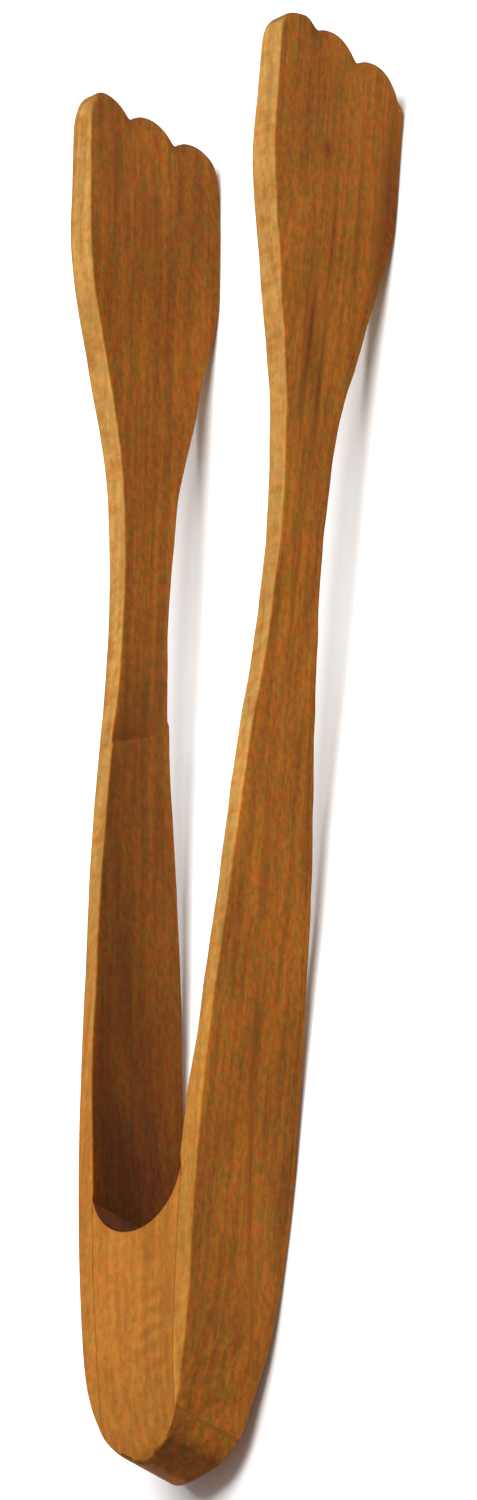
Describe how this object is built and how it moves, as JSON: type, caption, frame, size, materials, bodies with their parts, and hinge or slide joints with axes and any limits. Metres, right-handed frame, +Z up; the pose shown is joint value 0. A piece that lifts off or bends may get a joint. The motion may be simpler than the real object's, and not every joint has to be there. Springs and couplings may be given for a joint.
{
  "type": "print tongs",
  "caption": "Hardwood spring tongs with two thin arms on a solid butt, spreading to broad tips with rounded lobes.",
  "frame": {"origin": "on the bench surface, under the middle of the tongs' box, with the tongs lying on one long edge", "axes": "+Y from the butt end to the lobed tips, +X across the opening from the left arm to the right arm, +Z up; the centre line slopes by 1.2 degrees about X, butt end lower, because the tips are wider than the grip"},
  "size_m": [0.0396, 0.2152, 0.0256],
  "materials": {
    "arm_wood": "sanded hardwood with a thin oil finish, satin, long straight grain",
    "block_wood": "sanded hardwood with a rippled figure, satin",
    "glue": "cured wood glue in a hair-thin line"
  },
  "bodies": {
    "butt": {"spacer_block": "block_wood", "left_glue_line": "glue", "right_glue_line": "glue", "left_arm_root": "arm_wood", "right_arm_root": "arm_wood"},
    "left_arm": {"left_arm_blade": "arm_wood"},
    "right_arm": {"right_arm_blade": "arm_wood"}
  },
  "joints": [
    {"name": "left_arm_flex", "type": "hinge", "parent": "butt", "child": "left_arm", "pos_m": [-0.01067, -0.04758, 0.00981], "axis": [0, 0.0209, -0.9998], "range_deg": [0, 5.8], "stiffness_Nm_per_rad": 2.8},
    {"name": "right_arm_flex", "type": "hinge", "parent": "butt", "child": "right_arm", "pos_m": [0.01067, -0.04758, 0.00981], "axis": [0, -0.0209, 0.9998], "range_deg": [0, 5.8], "stiffness_Nm_per_rad": 2.8}
  ]
}
